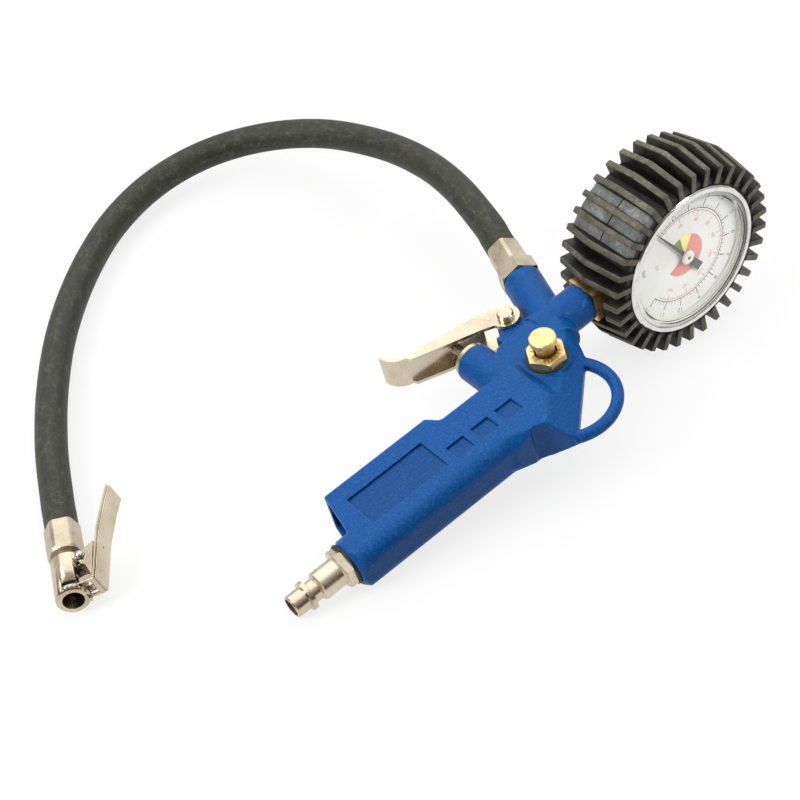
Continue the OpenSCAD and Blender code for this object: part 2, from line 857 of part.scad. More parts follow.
// Blank pads that fill three gaps between ribs, split across the middle
module pad() {
    width = 4.6;
    split = 0.3;
    translate([0, width / 2, 0])
        rotate([90, 0, 0])
            linear_extrude(width)
                polygon([[boot_wall_r - 1, 2], [rib_end_r - 2.4, 2], [rib_ridge_r - 2.6, boot_depth / 2 - split],
                    [boot_wall_r, boot_depth / 2 - split], [boot_wall_r, boot_depth / 2 + split],
                    [rib_ridge_r - 2.6, boot_depth / 2 + split],
                    [rib_end_r - 2.4, boot_depth - 2], [boot_wall_r - 1, boot_depth - 2]]);
}

module gauge_boot() {
    bezel_r = case_r + 0.75;
    lip_r = 25;
    color(rubber) laid() difference() {
        at_gauge() {
            rotate_extrude() polygon([[bezel_r, 0.6], [boot_wall_r, 0.6], [boot_wall_r, boot_depth],
                [lip_r, boot_depth], [lip_r, case_depth + 0.1], [case_r + 0.1, case_depth + 0.1],
                [case_r + 0.1, 5.2], [bezel_r, 5.2]]);
            for (i = [0 : ribs - 1]) rotate([0, 0, rib_angle(i)]) rib();
            for (i = [11, 12, 13]) rotate([0, 0, rib_angle(i + 0.5)]) pad();
        }
        at_stem() translate([-60, -11, -10]) cube([34, 22, 17.6]);
    }
}

// ---- hose and its crimped fittings ----------------------------------------------------------

// Z runs from the seat towards the hose
module ferrule(shank_l) {
    base = 7;
    corner = sleeve_af / 2 / cos(30);
    color(nickel) difference() {
        union() {
            rod_z(thread_r - fit, -shank_l, 1);
            hex_nut(sleeve_af + 2.4, 0, base);
            intersection() {
                translate([0, 0, base - 1]) cylinder(r = corner, h = ferrule_l - base + 1, $fn = 6);
                rod_z(corner - 0.4, base - 1, ferrule_l);
            }
        }
        rod_z(2.6, -shank_l - 1, ferrule_l - 2);
    }
}

module gun_ferrule() {
    laid() at_hose() translate([0, 0, hose_boss_l]) ferrule(12);
}

// Place and heading of the chuck's mouth on the table
mouth = [-183.6, 28.1, 7];
chuck_heading = -115.2;
module at_chuck() {
    translate(mouth) rotate([0, 0, chuck_heading]) rotate([chuck_roll, 0, 0]) children();
}

module chuck_ferrule() {
    at_chuck() translate([-chuck_l, 0, 0]) rotate([30 - chuck_roll, 0, 0])
        rotate([0, -90, 0]) ferrule_short();
}

short_l = 17.3;
module ferrule_short() {
    corner = sleeve_af / 2 / cos(30);
    color(nickel) difference() {
        union() {
            rod_z(3.4, -5.5, 1);
            rod_z(4.8, 0, 2.5);
            intersection() {
                translate([0, 0, 1.8]) cylinder(r = corner, h = short_l - 1.8, $fn = 6);
                union() {
                    translate([0, 0, 1.8]) cylinder(r1 = corner - 1, r2 = corner - 0.4, h = 1);
                    rod_z(corner - 0.4, 2.8, short_l);
                }
            }
        }
        rod_z(2.2, -7, short_l - 2);
    }
}

// Route of the hose's middle over the table, from the gun to the chuck
hose_leave = [hose_root_x * cos(lay_tilt) + origin_x, -origin_y, hose_root_x * sin(lay_tilt) + rib_ridge_r];
hose_way = [cos(hose_angle) * cos(lay_tilt), sin(hose_angle), cos(hose_angle) * sin(lay_tilt)];
hose_start = hose_leave + (hose_boss_l + ferrule_l) * hose_way;
chuck_back = [-cos(chuck_heading), -sin(chuck_heading), 0];
hose_end = mouth + (chuck_l + short_l) * chuck_back;
hose_points = [[53.1, 95, 36], [57.2, 122.6, 33], [56.3, 151.5, 28.5], [47.3, 182.3, 23.5],
    [30.2, 205.5, 18.5], [6.5, 218.5, 14.5], [-20.6, 220.5, 11], [-49.3, 211, 8.5], [-77.9, 191, 7.2],
    [-105, 164.1, 7], [-127.5, 134.9, 7], [-146.1, 105.2, 7]];
hose_route = concat([hose_start, hose_start + 8 * hose_way, hose_start + 18 * hose_way],
    hose_points, [hose_end + 16 * chuck_back, hose_end + 8 * chuck_back, hose_end]);

module hose() {
    color(rubber) tube(stations(hose_route, 3), hose_d / 2, 10);
}

// ---- chuck ----------------------------------------------------------------------------------

// In the chuck's frame X leaves the mouth, Y points to the thumb lever and Z along its pin.
pin_at = [-14.5, 7.7, 0];
ear_half = 3.5;
pin_end = thumb_w / 2 + 0.2;
seal_from = -9.9;
bore_depth = 12.5;

module chuck_body() {
    color(nickel) at_chuck() difference() {
        union() {
            rod_x(chuck_r, -chuck_l + 1.5, -0.8);
            translate([-0.8, 0, 0]) rotate([0, 90, 0]) cylinder(r1 = chuck_r, r2 = chuck_r - 0.8, h = 0.8);
            translate([-chuck_l, 0, 0]) rotate([0, 90, 0]) cylinder(r1 = chuck_r - 1, r2 = chuck_r, h = 1.5);
            hull() {
                translate(pin_at) rod_z(2.6, -ear_half, ear_half);
                translate([-14.5, 2, 0]) rod_z(4, -ear_half, ear_half);
            }
        }
        rod_x(mouth_r, -bore_depth, 1);
        rod_x(4.6, -bore_depth, seal_from);
        rod_x(3.5, -chuck_l - 1, -chuck_l + 5.7);
        rod_x(2.2, -chuck_l, -bore_depth + 1);
        translate(pin_at) rod_z(1.5, -8, 8);
        translate([-8.5, 3, -3.8]) cube([7, 6, 7.6]);
        translate([-10.7, 5.4, 1]) cube([8.5, 1.3, 6]);
        translate([-3.3, 0.7, 2.5]) cube([1.1, 5, 5]);
    }
}

module chuck_seal() {
    color("black") at_chuck() difference() {
        rod_x(4.55, -bore_depth + 0.05, seal_from - 0.05);
        rod_x(2, -bore_depth - 1, 0);
    }
}

// Pin that opens the tyre valve, on a disc with holes for the air
module valve_depressor() {
    color(brass) at_chuck() {
        rod_x(0.9, -bore_depth - 1, seal_from - 0.1);
        difference() {
            rod_x(2.15, -bore_depth - 1.9, -bore_depth - 0.7);
            for (turn = [0, 120, 240]) rotate([turn, 0, 0]) translate([0, 1.5, 0]) rod_x(0.5, -20, 0);
        }
    }
}

// Folded thumb lever with two triangular cheeks, and a jaw that reaches through the body's window
lever_lean = 16.5;
thumb_t = 1.2;
thumb_l = 42;
thumb_bend = [25, 6];
thumb_foot = [-1.5, 12];
module thumb_lever() {
    half = thumb_w / 2;
    rise = (thumb_l - thumb_bend[0]) * tan(thumb_bend[1]);
    color(nickel) at_chuck() difference() {
        union() {
            translate([thumb_foot[0], thumb_foot[1], -half])
                rotate([0, 0, 180 - lever_lean])
                    linear_extrude(thumb_w)
                        polygon([[0, thumb_t], [0, 0], [thumb_bend[0], 0],
                            [thumb_l, -rise], [thumb_l, thumb_t - rise], [thumb_bend[0], thumb_t]]);
            for (side = [-1, 1])
                translate([0, 0, side * (half - thumb_t / 2) - thumb_t / 2])
                    linear_extrude(thumb_t) {
                        polygon([[-2.2, 11.8], [-19, 16.8], [-16.4, 7.6], [-14.5, 6], [-12.6, 6.8]]);
                        translate([pin_at[0], pin_at[1]]) circle(2.2);
                    }
            linear_extrude(6, center = true)
                polygon([[-2.2, 11.6], [-3.6, 12.2], [-5.4, 8.4], [-5.4, 4.5], [-3.4, 4.3],
                    [-3.4, 8.4]]);
        }
        translate(pin_at) rod_z(1.45 + fit, -8, 8);
    }
}

module chuck_pin() {
    color(steel) at_chuck() translate(pin_at) {
        rod_z(1.45, -pin_end - 0.5, pin_end + 0.5);
        for (turn = [0, 180])
            rotate([turn, 0, 0])
                rotate_extrude()
                    polygon(concat([[0, pin_end]], arc([0, pin_end], 2, 0, 90, 5)));
    }
}

module chuck_spring() {
    color(steel) at_chuck() translate([-19.1, 6.6, 0]) rotate([-90, 0, 0])
        coil_spring(1.3, 9.1, 6, 0.25);
}

body();
inlet_plug();
plug_washer();
trigger_lever();
lever_pin();
pin_clip();
valve_gland();
gland_ring();
stem_ring();
valve_stem();
valve_poppet();
poppet_seal();
valve_spring();
bleed_nut();
bleed_knob();
bleed_seal();
bleed_spring();
gauge_socket();
gauge_case();
gauge_bezel();
gauge_lens();
dial_plate();
pointer();
pointer_hub();
pinion_shaft();
sector_gear();
movement_plates();
bourdon_tube();
tube_link();
gauge_boot();
gun_ferrule();
hose();
chuck_ferrule();
chuck_body();
chuck_seal();
valve_depressor();
thumb_lever();
chuck_pin();
chuck_spring();
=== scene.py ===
import json
import math

import bpy
from mathutils import Matrix, Vector

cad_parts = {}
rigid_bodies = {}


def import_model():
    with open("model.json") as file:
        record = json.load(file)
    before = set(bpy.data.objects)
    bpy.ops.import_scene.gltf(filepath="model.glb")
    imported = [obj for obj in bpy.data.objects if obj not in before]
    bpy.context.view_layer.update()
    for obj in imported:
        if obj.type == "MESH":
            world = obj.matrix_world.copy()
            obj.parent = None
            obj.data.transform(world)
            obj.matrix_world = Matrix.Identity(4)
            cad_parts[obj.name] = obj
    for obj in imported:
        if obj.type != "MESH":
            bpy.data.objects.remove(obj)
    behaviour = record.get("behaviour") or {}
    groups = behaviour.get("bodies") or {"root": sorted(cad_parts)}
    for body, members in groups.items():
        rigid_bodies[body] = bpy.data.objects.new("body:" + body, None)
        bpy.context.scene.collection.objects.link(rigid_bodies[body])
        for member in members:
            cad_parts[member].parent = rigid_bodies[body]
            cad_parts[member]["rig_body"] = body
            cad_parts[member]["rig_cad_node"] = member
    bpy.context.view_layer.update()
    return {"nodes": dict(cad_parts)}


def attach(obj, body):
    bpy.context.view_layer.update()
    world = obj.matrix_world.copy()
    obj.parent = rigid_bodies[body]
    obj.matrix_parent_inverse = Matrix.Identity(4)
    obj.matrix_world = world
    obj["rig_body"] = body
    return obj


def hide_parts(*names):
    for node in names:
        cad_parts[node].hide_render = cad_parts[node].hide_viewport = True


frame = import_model()

# ---- Table, lamps and camera ---------------------------------------------------------------
# A white sweep under one broad soft lamp above and behind the gun, a small one on the left and a
# faint narrow one on the dial. The room is white overhead, and dark and warm in front. The camera
# has a long lens. It sees the sweep mostly as an even white glow, and so do reflections.
sweep_colour, glow_strength, glow_share = (0.56, 0.56, 0.56), 1.14, 0.7
bpy.ops.mesh.primitive_plane_add(size=6.0, location=(0, 0, 0))
table = bpy.context.object
table.name = "table"
sweep = bpy.data.materials.new("white_sweep")
sweep.use_nodes = True
nodes, links = sweep.node_tree.nodes, sweep.node_tree.links
nodes["Principled BSDF"].inputs["Base Color"].default_value = (*sweep_colour, 1)
nodes["Principled BSDF"].inputs["Roughness"].default_value = 0.9
glow = nodes.new("ShaderNodeEmission")
glow.inputs["Color"].default_value = (1, 1, 1, 1)
glow.inputs["Strength"].default_value = glow_strength
seen = nodes.new("ShaderNodeLightPath")
share = nodes.new("ShaderNodeMath")
share.operation = "MULTIPLY"
share.inputs[1].default_value = glow_share
either = nodes.new("ShaderNodeMath")
either.operation = "MAXIMUM"
blend = nodes.new("ShaderNodeMixShader")
links.new(seen.outputs["Is Camera Ray"], either.inputs[0])
links.new(seen.outputs["Is Glossy Ray"], either.inputs[1])
links.new(either.outputs[0], share.inputs[0])
links.new(share.outputs[0], blend.inputs[0])
links.new(nodes["Principled BSDF"].outputs[0], blend.inputs[1])
links.new(glow.outputs[0], blend.inputs[2])
links.new(blend.outputs[0], nodes["Material Output"].inputs["Surface"])
table.data.materials.append(sweep)

# The room's colour goes from front to overhead by the angle to its lightest direction.
lightest_way, front_colour, overhead_colour = (0.35, 0.45, 0.82), (0.10, 0.07, 0.05), (0.96,) * 3
room = bpy.data.worlds.new("white_room")
bpy.context.scene.world = room
room.use_nodes = True
nodes, links = room.node_tree.nodes, room.node_tree.links
towards = nodes.new("ShaderNodeTexCoord")
facing = nodes.new("ShaderNodeVectorMath")
facing.operation = "DOT_PRODUCT"
facing.inputs[1].default_value = lightest_way
walls = nodes.new("ShaderNodeMapRange")
walls.inputs["From Min"].default_value = -0.1
walls.inputs["From Max"].default_value = 1.0
paint = nodes.new("ShaderNodeMix")
paint.data_type = "RGBA"
paint.inputs[6].default_value = (*front_colour, 1)
paint.inputs[7].default_value = (*overhead_colour, 1)
direct = nodes.new("ShaderNodeLightPath")
wall = nodes.new("ShaderNodeMix")
wall.data_type = "RGBA"
wall.inputs[7].default_value = (1, 1, 1, 1)
links.new(towards.outputs["Generated"], facing.inputs[0])
links.new(facing.outputs["Value"], walls.inputs["Value"])
links.new(walls.outputs[0], paint.inputs["Factor"])
links.new(direct.outputs["Is Camera Ray"], wall.inputs["Factor"])
links.new(paint.outputs[2], wall.inputs[6])
links.new(wall.outputs[2], nodes["Background"].inputs["Color"])
bpy.context.scene.view_settings.view_transform = "Standard"


def add_lamp(name, place, target, width, height, watts):
    """A rectangular lamp that faces its target"""
    bpy.ops.object.light_add(type="AREA", location=place)
    lamp = bpy.context.object
    lamp.name = name
    lamp.data.shape = "RECTANGLE"
    lamp.data.size = width
    lamp.data.size_y = height
    lamp.data.energy = watts
    lamp.rotation_euler = (Vector(target) - Vector(place)).to_track_quat("-Z", "Y").to_euler()
    return lamp


add_lamp("top_lamp", (0.22, 0.38, 1.15), (0, 0.05, 0), 2.4, 2.0, 13.0)
add_lamp("left_lamp", (-0.85, 0.15, 0.65), (-0.05, 0.05, 0), 0.5, 0.5, 6.0)
dial_lamp = add_lamp("dial_lamp", (0.30, -0.50, 0.42), (0.09, 0, 0.03), 0.15, 0.15, 0.042)
dial_lamp.data.spread = math.radians(22)

camera = bpy.data.objects.new("camera", bpy.data.cameras.new("camera"))
bpy.context.scene.collection.objects.link(camera)
camera.data.sensor_width = 36
camera.data.lens = 99
camera.data.clip_start = 0.05
camera.location = (-0.39723, -0.50526, 0.57583)
camera.rotation_euler = (math.radians(48.783), math.radians(4.365), math.radians(-38.198))
bpy.context.scene.camera = camera

# ---- Hose ----------------------------------------------------------------------------------
# Black rubber air hose, 13 mm thick. It leaves the gun's crimped fitting, comes down to the
# table on a wide bend and ends in the chuck's fitting. Its skin is scuffed along its length.
hose_thick = 0.013
hose_route = [
    (0.040316, 0.049902, 0.035106), (0.042851, 0.057475, 0.035570), (0.046021, 0.066941, 0.036151),
    (0.0531, 0.095, 0.036), (0.0572, 0.1226, 0.033), (0.0563, 0.1515, 0.0285),
    (0.0473, 0.1823, 0.0235), (0.0302, 0.2055, 0.0185), (0.0065, 0.2185, 0.0145),
    (-0.0206, 0.2205, 0.011), (-0.0493, 0.211, 0.0085), (-0.0779, 0.191, 0.0072),
    (-0.105, 0.1641, 0.007), (-0.1275, 0.1349, 0.007), (-0.1461, 0.1052, 0.007),
    (-0.160651, 0.076870, 0.007), (-0.164057, 0.069632, 0.007), (-0.167463, 0.062393, 0.007)]


def along(points, steps):
    """Points of a smooth line through the given ones"""
    p = [Vector(q) for q in points]
    p = [2 * p[0] - p[1]] + p + [2 * p[-1] - p[-2]]
    line = []
    for i in range(1, len(p) - 2):
        a, b, c, d = p[i - 1:i + 3]
        for s in range(steps):
            t = s / steps
            line.append(0.5 * (2 * b + (c - a) * t + (2 * a - 5 * b + 4 * c - d) * t * t
                               + (3 * b - a - 3 * c + d) * t ** 3))
    line.append(p[-2])
    return line


def pick(pieces):
    """Select these pieces alone, with the first one active"""
    bpy.ops.object.select_all(action="DESELECT")
    for piece in pieces:
        piece.select_set(True)
    bpy.context.view_layer.objects.active = pieces[0]


line = along(hose_route, 8)
curve = bpy.data.curves.new("rubber_hose", "CURVE")
curve.dimensions = "3D"
spline = curve.splines.new("POLY")
spline.points.add(len(line) - 1)
for point, place in zip(spline.points, line):
    point.co = (*place, 1)
curve.bevel_depth = hose_thick / 2
curve.bevel_resolution = 10
curve.use_fill_caps = True
rubber_hose = bpy.data.objects.new("rubber_hose", curve)
bpy.context.scene.collection.objects.link(rubber_hose)
pick([rubber_hose])
bpy.ops.object.convert(target="MESH")
bpy.ops.object.shade_smooth_by_angle(angle=math.radians(50))


def new_material(name):
    """A material whose only node so far is its surface shader"""
    material = bpy.data.materials.new(name)
    material.use_nodes = True
    return material, material.node_tree.nodes, material.node_tree.links


def colour_steps(nodes, steps):
    """A colour ramp: pairs of position and colour"""
    ramp = nodes.new("ShaderNodeValToRGB")
    while len(ramp.color_ramp.elements) < len(steps):
        ramp.color_ramp.elements.new(0.5)
    for element, (place, colour) in zip(ramp.color_ramp.elements, steps):
        element.position = place
        element.color = (*colour, 1)
    return ramp


def cloud_grain_group():
    """Clouds and fine grain in three colours, for every painted, plated or moulded finish"""
    group = bpy.data.node_groups.new("cloud_grain", "ShaderNodeTree")
    for name, kind, start in (
            ("Vector", "NodeSocketVector", None), ("Cloud Scale", "NodeSocketFloat", 200),
            ("Grain Scale", "NodeSocketFloat", 1200), ("Grain Share", "NodeSocketFloat", 0.3),
            ("Dark", "NodeSocketColor", (0.1, 0.1, 0.1, 1)),
            ("Middle", "NodeSocketColor", (0.3, 0.3, 0.3, 1)),
            ("Light", "NodeSocketColor", (0.6, 0.6, 0.6, 1)),
            ("Smooth", "NodeSocketFloat", 0.3), ("Rough", "NodeSocketFloat", 0.6),
            ("Depth", "NodeSocketFloat", 0.3)):
        socket = group.interface.new_socket(name=name, in_out="INPUT", socket_type=kind)
        if start is not None:
            socket.default_value = start
    for name, kind in (("Color", "NodeSocketColor"), ("Roughness", "NodeSocketFloat"),
                       ("Mask", "NodeSocketFloat"), ("Normal", "NodeSocketVector")):
        group.interface.new_socket(name=name, in_out="OUTPUT", socket_type=kind)
    nodes, links = group.nodes, group.links
    given, made = nodes.new("NodeGroupInput"), nodes.new("NodeGroupOutput")
    clouds, grain = nodes.new("ShaderNodeTexNoise"), nodes.new("ShaderNodeTexNoise")
    clouds.inputs["Detail"].default_value = 6
    clouds.inputs["Roughness"].default_value = 0.65
    grain.inputs["Detail"].default_value = 2
    mask = nodes.new("ShaderNodeMix")
    low, high, shine = [nodes.new("ShaderNodeMapRange") for _ in range(3)]
    for ramp, start, end in ((low, 0.34, 0.50), (high, 0.52, 0.70), (shine, 0.34, 0.68)):
        ramp.inputs["From Min"].default_value = start
        ramp.inputs["From Max"].default_value = end
    first, second = nodes.new("ShaderNodeMix"), nodes.new("ShaderNodeMix")
    first.data_type = second.data_type = "RGBA"
    bump = nodes.new("ShaderNodeBump")
    bump.inputs["Distance"].default_value = 0.0002
    for noise, scale in ((clouds, "Cloud Scale"), (grain, "Grain Scale")):
        links.new(given.outputs["Vector"], noise.inputs["Vector"])
        links.new(given.outputs[scale], noise.inputs["Scale"])
    links.new(given.outputs["Grain Share"], mask.inputs["Factor"])
    links.new(clouds.outputs["Fac"], mask.inputs["A"])
    links.new(grain.outputs["Fac"], mask.inputs["B"])
    for ramp in (low, high, shine):
        links.new(mask.outputs[0], ramp.inputs["Value"])
    links.new(low.outputs[0], first.inputs["Factor"])
    links.new(given.outputs["Dark"], first.inputs[6])
    links.new(given.outputs["Middle"], first.inputs[7])
    links.new(high.outputs[0], second.inputs["Factor"])
    links.new(first.outputs[2], second.inputs[6])
    links.new(given.outputs["Light"], second.inputs[7])
    links.new(given.outputs["Smooth"], shine.inputs["To Min"])
    links.new(given.outputs["Rough"], shine.inputs["To Max"])
    links.new(grain.outputs["Fac"], bump.inputs["Height"])
    links.new(given.outputs["Depth"], bump.inputs["Strength"])
    links.new(second.outputs[2], made.inputs["Color"])
    links.new(shine.outputs[0], made.inputs["Roughness"])
    links.new(mask.outputs[0], made.inputs["Mask"])
    links.new(bump.outputs[0], made.inputs["Normal"])
    return group


cloud_grain = cloud_grain_group()


def grained(name, dark, middle, light, scales, share, smooth, rough, depth, metallic=0.0,
            specular=0.5):
    """A finish with the cloud and grain pattern: its three colours, two scales in cells per
    metre, the grain's share, the lowest and highest roughness, and the depth of the grain"""
    material, nodes, links = new_material(name)
    where = nodes.new("ShaderNodeTexCoord")
    pattern = nodes.new("ShaderNodeGroup")
    pattern.node_tree = cloud_grain
    values = {"Cloud Scale": scales[0], "Grain Scale": scales[1], "Grain Share": share,
              "Dark": (*dark, 1), "Middle": (*middle, 1), "Light": (*light, 1),
              "Smooth": smooth, "Rough": rough, "Depth": depth}
    for socket, value in values.items():
        pattern.inputs[socket].default_value = value
    surface = nodes["Principled BSDF"]
    surface.inputs["Metallic"].default_value = metallic
    surface.inputs["Specular IOR Level"].default_value = specular
    links.new(where.outputs["Object"], pattern.inputs["Vector"])
    links.new(pattern.outputs["Color"], surface.inputs["Base Color"])
    links.new(pattern.outputs["Roughness"], surface.inputs["Roughness"])
    links.new(pattern.outputs["Normal"], surface.inputs["Normal"])
    return material


def tint(material, tone):
    """Multiply the colour of a finish by the output of another of its nodes"""
    colour = material.node_tree.nodes["Principled BSDF"].inputs["Base Color"]
    product = material.node_tree.nodes.new("ShaderNodeMix")
    product.data_type = "RGBA"
    product.blend_type = "MULTIPLY"
    product.inputs["Factor"].default_value = 1
    links = material.node_tree.links
    links.new(colour.links[0].from_socket, product.inputs[6])
    links.new(tone, product.inputs[7])
    links.new(product.outputs[2], colour)


def coat(piece, *finishes):
    """Give a piece these finishes and no others"""
    piece.data.materials.clear()
    for finish in finishes:
        piece.data.materials.append(finish)


# Long scuffs run along the hose, and chalky specks sit in its grain.
hose_rubber = grained("hose_rubber", (0.009, 0.010, 0.006), (0.030, 0.032, 0.020),
                      (0.105, 0.102, 0.066), (480, 1400), 0.35, 0.46, 0.72, 0.5)
nodes, links = hose_rubber.node_tree.nodes, hose_rubber.node_tree.links
stretch = nodes.new("ShaderNodeMapping")
stretch.inputs["Scale"].default_value = (14, 3, 1)
scuffs = nodes.new("ShaderNodeTexNoise")
scuffs.inputs["Scale"].default_value = 5
scuffs.inputs["Detail"].default_value = 8
scuffs.inputs["Roughness"].default_value = 0.7
tone = colour_steps(nodes, [(0.32, (0.35,) * 3), (0.52, (0.8,) * 3), (0.72, (1.9,) * 3)])
links.new(nodes["Texture Coordinate"].outputs["UV"], stretch.inputs["Vector"])
links.new(stretch.outputs[0], scuffs.inputs["Vector"])
links.new(scuffs.outputs["Fac"], tone.inputs[0])
tint(hose_rubber, tone.outputs[0])
coat(rubber_hose, hose_rubber)
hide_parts("hose")
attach(rubber_hose, "gun")

# ---- Body ----------------------------------------------------------------------------------
# One die casting with a thick, fine-grained blue coat. The solid is taken over, a small web is
# added between the lever's lug and the valve boss, and all corners are worn down. Then the
# recesses in its side are cut again with crisp edges.


def taken_over(node_name, name):
    """A welded copy of a solid under a new name, to be worked on further"""
    piece = frame["nodes"][node_name].copy()
    piece.data = piece.data.copy()
    piece.name = name
    bpy.context.scene.collection.objects.link(piece)
    pick([piece])
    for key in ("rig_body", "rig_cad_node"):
        if key in piece:
            del piece[key]
    piece.parent = None
    bpy.ops.object.mode_set(mode="EDIT")
    bpy.ops.mesh.select_all(action="SELECT")
    bpy.ops.mesh.remove_doubles(threshold=0.000002)
    bpy.ops.object.mode_set(mode="OBJECT")
    return piece


def box(low, high, place=Matrix.Identity(4)):
    """A plain box between two corners in millimetres in the place's own frame"""
    bpy.ops.mesh.primitive_cube_add(size=1, location=(0, 0, 0))
    middle = [(a + b) / 2000 for a, b in zip(low, high)]
    bpy.context.object.data.transform(place @ Matrix.Translation(middle) @ Matrix.Diagonal(
        [(b - a) / 1000 for a, b in zip(low, high)] + [1]))
    return bpy.context.object


def join(pieces):
    """Make one piece of several, under the name of the first"""
    pick(pieces)
    bpy.ops.object.join()
    return pieces[0]


def cut_away(piece, tool, crossing=False):
    """Take the tool's volume out of a piece, whose own parts may be crossing each other"""
    cut = piece.modifiers.new("cut", "BOOLEAN")
    cut.object = tool
    cut.solver = "EXACT"
    cut.use_self = crossing
    pick([piece])
    bpy.ops.object.modifier_apply(modifier="cut")
    bpy.data.objects.remove(tool)


# The gun lies tilted by this angle, with the middle of its gauge at this point.
lay_tilt = math.radians(10.3786)
lay_x, lay_y, lay_z = 0.08342, -0.01466, 0.043


def laid(x, z):
    """The place of something on the gun's long axis, tilted as the gun lies on the table"""
    return Matrix(((math.cos(lay_tilt), 0, -math.sin(lay_tilt), x), (0, 1, 0, lay_y),
                   (math.sin(lay_tilt), 0, math.cos(lay_tilt), z), (0, 0, 0, 1)))


gun_place = laid(lay_x, lay_z)
body_cast = taken_over("body", "body_cast")
web = box((-80.5, 15, -5.6), (-70, 25.5, 5.6), gun_place)
join([body_cast, web])
remesh = body_cast.modifiers.new("remesh", "REMESH")
remesh.mode = "VOXEL"
remesh.voxel_size = 0.00042
remesh.use_smooth_shade = True
bpy.ops.object.modifier_apply(modifier="remesh")
relax = body_cast.modifiers.new("relax", "SMOOTH")
relax.factor = 0.5
relax.iterations = 4
bpy.ops.object.modifier_apply(modifier="relax")
thin = body_cast.modifiers.new("thin", "DECIMATE")
thin.ratio = 0.28
bpy.ops.object.modifier_apply(modifier="thin")

# Each recess has a corner, a length and a width. Its floor rises a little over the width.
floor_rise, floor_height, margin = 0.58, 0.0088, 0.1
recesses = []
for x, y, length, width in ((-171, 4, 35.5, 16), (-130.8, -5.6, 8, 7), (-118.8, -5.6, 8, 7),
                            (-107, -5.6, 8, 7)):
    slope = Matrix.Rotation(-math.atan(floor_rise / width), 4, "X")
    corner = Matrix.Translation((x / 1000, y / 1000, floor_height))
    recesses.append(box((-margin, -width - margin, -0.15), (length + margin, margin, 3),
                        gun_place @ corner @ slope))
cut_away(body_cast, join(recesses))
bpy.ops.object.shade_smooth_by_angle(angle=math.radians(40))

# The coat is darkened in creases by the geometry's pointiness and in inner corners by ambient
# occlusion, both painted shade. It is lighter on sharp edges, partly as a thin, worn coat and
# partly as a painted highlight.
blue_coat = grained("blue_coat", (0.001, 0.046, 0.195), (0.001, 0.072, 0.28), (0.016, 0.125, 0.38),
                    (700, 1500), 0.5, 0.30, 0.46, 0.9, specular=0.16)
nodes, links = blue_coat.node_tree.nodes, blue_coat.node_tree.links
shape = nodes.new("ShaderNodeNewGeometry")
# Painted shade in creases, and a lighter edge that is partly wear and partly painted highlight, by
# pointiness.
crease_shade_edge_light = colour_steps(nodes, [(0.400, (0.8,) * 3), (0.470, (1.0,) * 3), (0.508, (1.0,) * 3),
                            (0.540, (1.5, 1.35, 1.2))])
# Painted shade: ambient occlusion darkens the coat in its inner corners.
hidden = nodes.new("ShaderNodeAmbientOcclusion")
hidden.samples = 6
hidden.inputs["Distance"].default_value = 0.006
corner_shade = colour_steps(nodes, [(0.25, (0.15,) * 3), (0.80, (1.0,) * 3)])
links.new(shape.outputs["Pointiness"], crease_shade_edge_light.inputs[0])
links.new(hidden.outputs["Color"], corner_shade.inputs[0])
tint(blue_coat, crease_shade_edge_light.outputs[0])
tint(blue_coat, corner_shade.outputs[0])
coat(body_cast, blue_coat)
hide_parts("body")
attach(body_cast, "gun")

# ---- Metal fittings and seals --------------------------------------------------------------
# Turned and pressed steel with warm nickel plating: the plug, the trigger, its pin, the gland
# and, with a duller plating, the crimped fittings. The bezel is chromed. Pins, clip and springs
# are bright steel, the gauge's stem is cast brass, and what turns or slides inside is brass.


def dress(node_names, material):
    """Put a finish on solids that stay as they are"""
    for name in node_names:
        coat(frame["nodes"][name], material)


nickel = grained("warm_nickel", (0.46, 0.38, 0.26), (0.62, 0.54, 0.41), (0.78, 0.71, 0.57),
                 (45, 900), 0.12, 0.20, 0.34, 0.10, metallic=1.0)
dress(["inlet_plug", "trigger_lever", "lever_pin", "valve_gland"], nickel)
satin = grained("satin_nickel", (0.42, 0.35, 0.23), (0.56, 0.49, 0.37), (0.70, 0.63, 0.50),
                (70, 900), 0.2, 0.30, 0.46, 0.12, metallic=1.0)
dress(["gun_ferrule", "chuck_ferrule"], satin)
chrome = grained("bezel_chrome", (0.60, 0.60, 0.58), (0.74, 0.74, 0.72), (0.84, 0.84, 0.82),
                 (150, 900), 0.2, 0.08, 0.18, 0.05, metallic=1.0)
dress(["gauge_bezel"], chrome)
steel = grained("bright_steel", (0.34, 0.33, 0.31), (0.52, 0.51, 0.49), (0.66, 0.65, 0.63),
                (250, 1200), 0.3, 0.18, 0.32, 0.12, metallic=1.0)
dress(["valve_stem", "pin_clip", "valve_spring", "bleed_spring", "chuck_pin", "chuck_spring"],
      steel)
brass = grained("yellow_brass", (0.66, 0.42, 0.12), (0.84, 0.61, 0.23), (0.95, 0.78, 0.40),
                (60, 1100), 0.12, 0.24, 0.38, 0.10, metallic=1.0)
cast_brass = grained("cast_brass", (0.46, 0.26, 0.08), (0.84, 0.56, 0.25), (0.98, 0.76, 0.45),
                     (260, 900), 0.3, 0.30, 0.46, 0.2, metallic=1.0)
dress(["gauge_socket"], cast_brass)
dress(["valve_poppet", "valve_depressor", "pinion_shaft", "sector_gear", "movement_plates",
       "bourdon_tube", "tube_link"], brass)

black_rubber = grained("black_rubber", (0.006, 0.006, 0.006), (0.012, 0.012, 0.011),
                       (0.030, 0.029, 0.026), (300, 1500), 0.4, 0.45, 0.65, 0.3)
dress(["plug_washer", "gland_ring", "stem_ring", "poppet_seal", "bleed_seal", "chuck_seal"],
      black_rubber)
